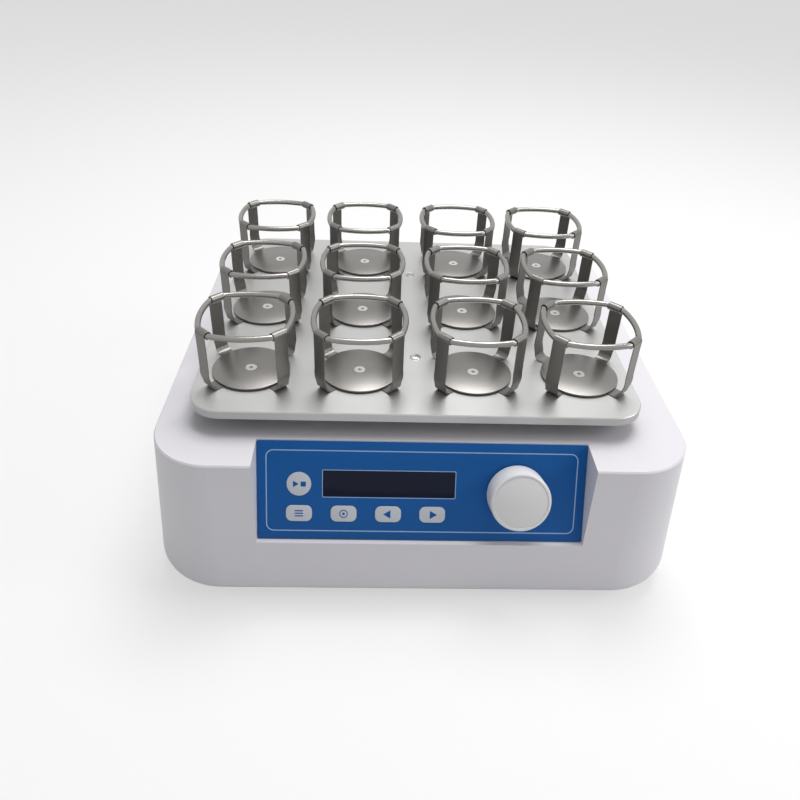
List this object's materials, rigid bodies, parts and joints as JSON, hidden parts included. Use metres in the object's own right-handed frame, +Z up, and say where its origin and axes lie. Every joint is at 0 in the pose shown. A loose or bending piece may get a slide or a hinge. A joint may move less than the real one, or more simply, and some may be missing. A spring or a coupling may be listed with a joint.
{
  "type": "orbital shaker",
  "caption": "Bench-top orbital shaker: drafted housing with a leaning control panel and knob, and an orbiting platform with spring clamps for small conical flasks.",
  "frame": {"origin": "on the crankshaft's axis at table height, the middle of the housing's footprint", "axes": "+X right along the control panel, +Y to the back, +Z up"},
  "size_m": [0.3696, 0.3594, 0.1817],
  "materials": {
    "housing_white": "satin moulded plastic",
    "panel_blue": "satin printed foil",
    "key_grey": "satin",
    "display_dark": "glossy window",
    "knob_silver": "satin face with a bright bevel",
    "board_green": "solder mask",
    "encoder_metal": "plain",
    "platform_aluminium": "fine satin, anodised",
    "clamp_steel": "satin stainless",
    "screw_steel": "bright stainless",
    "cast_aluminium": "as cast and machined",
    "shaft_steel": "ground",
    "weight_iron": "painted casting",
    "motor_black": "semi-gloss",
    "pan_paint": "fine texture",
    "supply_can": "zinc plated",
    "inlet_black": "fine texture",
    "foot_rubber": "matte",
    "belt_rubber": "matte"
  },
  "bodies": {
    "housing": {"housing_cover": "housing_white", "base_pan": "pan_paint", "rubber_feet": "foot_rubber", "case_screws": "screw_steel", "control_panel": "panel_blue", "display_module": "display_dark", "control_board": "board_green", "encoder_body": "encoder_metal", "drive_frame": "cast_aluminium", "drive_bearings": "shaft_steel", "motor": "motor_black", "drive_belt": "belt_rubber", "power_supply": "supply_can", "power_inlet": "inlet_black"},
    "crank": {"crankshaft": "shaft_steel", "counterweight": "weight_iron", "crank_pulley": "cast_aluminium"},
    "motor_rotor": {"motor_pulley": "shaft_steel"},
    "carriage": {"carrier_plate": "cast_aluminium", "carrier_bearings": "shaft_steel", "platform": "platform_aluminium", "platform_screws": "screw_steel", "clamp_discs": "clamp_steel", "clamp_screws": "screw_steel", "clamp_frame_01": "clamp_steel", "clamp_frame_02": "clamp_steel", "clamp_frame_03": "clamp_steel", "clamp_frame_04": "clamp_steel", "clamp_frame_05": "clamp_steel", "clamp_frame_06": "clamp_steel", "clamp_frame_07": "clamp_steel", "clamp_frame_08": "clamp_steel", "clamp_frame_09": "clamp_steel", "clamp_frame_10": "clamp_steel", "clamp_frame_11": "clamp_steel", "clamp_frame_12": "clamp_steel", "clamp_ring_01": "clamp_steel", "clamp_ring_02": "clamp_steel", "clamp_ring_03": "clamp_steel", "clamp_ring_04": "clamp_steel", "clamp_ring_05": "clamp_steel", "clamp_ring_06": "clamp_steel", "clamp_ring_07": "clamp_steel", "clamp_ring_08": "clamp_steel", "clamp_ring_09": "clamp_steel", "clamp_ring_10": "clamp_steel", "clamp_ring_11": "clamp_steel", "clamp_ring_12": "clamp_steel"},
    "idler_1": {"idler_crank_1": "shaft_steel"},
    "idler_2": {"idler_crank_2": "shaft_steel"},
    "idler_3": {"idler_crank_3": "shaft_steel"},
    "encoder_push": {"encoder_plunger": "encoder_metal"},
    "knob_turning": {"knob": "knob_silver", "encoder_spindle": "encoder_metal"},
    "start_stop_button": {"start_stop_key": "key_grey"},
    "menu_button": {"menu_key": "key_grey"},
    "mode_button": {"mode_key": "key_grey"},
    "left_button": {"left_key": "key_grey"},
    "right_button": {"right_key": "key_grey"},
    "power_rocker": {"rocker": "inlet_black"}
  },
  "joints": [
    {"name": "crank_spin", "type": "hinge", "parent": "housing", "child": "crank", "pos_m": [0, 0, 0.096], "axis": [0, 0, 1], "continuous": true},
    {"name": "platform_orbit", "type": "hinge", "parent": "crank", "child": "carriage", "pos_m": [-0.0036, 0.00347, 0.13], "axis": [0, 0, 1], "continuous": true},
    {"name": "idler_1_spin", "type": "hinge", "parent": "housing", "child": "idler_1", "pos_m": [0.08227, 0.0475, 0.096], "axis": [0, 0, 1], "continuous": true},
    {"name": "idler_2_spin", "type": "hinge", "parent": "housing", "child": "idler_2", "pos_m": [-0.08227, 0.0475, 0.096], "axis": [0, 0, 1], "continuous": true},
    {"name": "idler_3_spin", "type": "hinge", "parent": "housing", "child": "idler_3", "pos_m": [0, -0.095, 0.096], "axis": [0, 0, 1], "continuous": true},
    {"name": "motor_spin", "type": "hinge", "parent": "housing", "child": "motor_rotor", "pos_m": [0, 0.088, 0.034], "axis": [0, 0, 1], "continuous": true},
    {"name": "knob_push", "type": "slide", "parent": "housing", "child": "encoder_push", "axis": [0, 0.9085, -0.4179], "range_m": [0, 0.0005], "stiffness_N_per_m": 6000, "springref_m": -0.0003},
    {"name": "knob_turn", "type": "hinge", "parent": "encoder_push", "child": "knob_turning", "pos_m": [0.0626, -0.15496, 0.08747], "axis": [0, -0.9085, 0.4179], "continuous": true},
    {"name": "start_stop_press", "type": "slide", "parent": "housing", "child": "start_stop_button", "axis": [0, 0.9085, -0.4179], "range_m": [0, 0.0004], "stiffness_N_per_m": 4000, "springref_m": -0.0003},
    {"name": "menu_press", "type": "slide", "parent": "housing", "child": "menu_button", "axis": [0, 0.9085, -0.4179], "range_m": [0, 0.0004], "stiffness_N_per_m": 4000, "springref_m": -0.0003},
    {"name": "mode_press", "type": "slide", "parent": "housing", "child": "mode_button", "axis": [0, 0.9085, -0.4179], "range_m": [0, 0.0004], "stiffness_N_per_m": 4000, "springref_m": -0.0003},
    {"name": "left_press", "type": "slide", "parent": "housing", "child": "left_button", "axis": [0, 0.9085, -0.4179], "range_m": [0, 0.0004], "stiffness_N_per_m": 4000, "springref_m": -0.0003},
    {"name": "right_press", "type": "slide", "parent": "housing", "child": "right_button", "axis": [0, 0.9085, -0.4179], "range_m": [0, 0.0004], "stiffness_N_per_m": 4000, "springref_m": -0.0003},
    {"name": "rocker_tilt", "type": "hinge", "parent": "housing", "child": "power_rocker", "pos_m": [0.077, 0.17417, 0.04004], "axis": [1, 0, 0], "range_deg": [0, 20]}
  ],
  "couplings": [
    {"joint": "platform_orbit", "follows": "crank_spin", "ratio": -1},
    {"joint": "idler_1_spin", "follows": "crank_spin", "ratio": 1},
    {"joint": "idler_2_spin", "follows": "crank_spin", "ratio": 1},
    {"joint": "idler_3_spin", "follows": "crank_spin", "ratio": 1},
    {"joint": "motor_spin", "follows": "crank_spin", "ratio": 4}
  ]
}
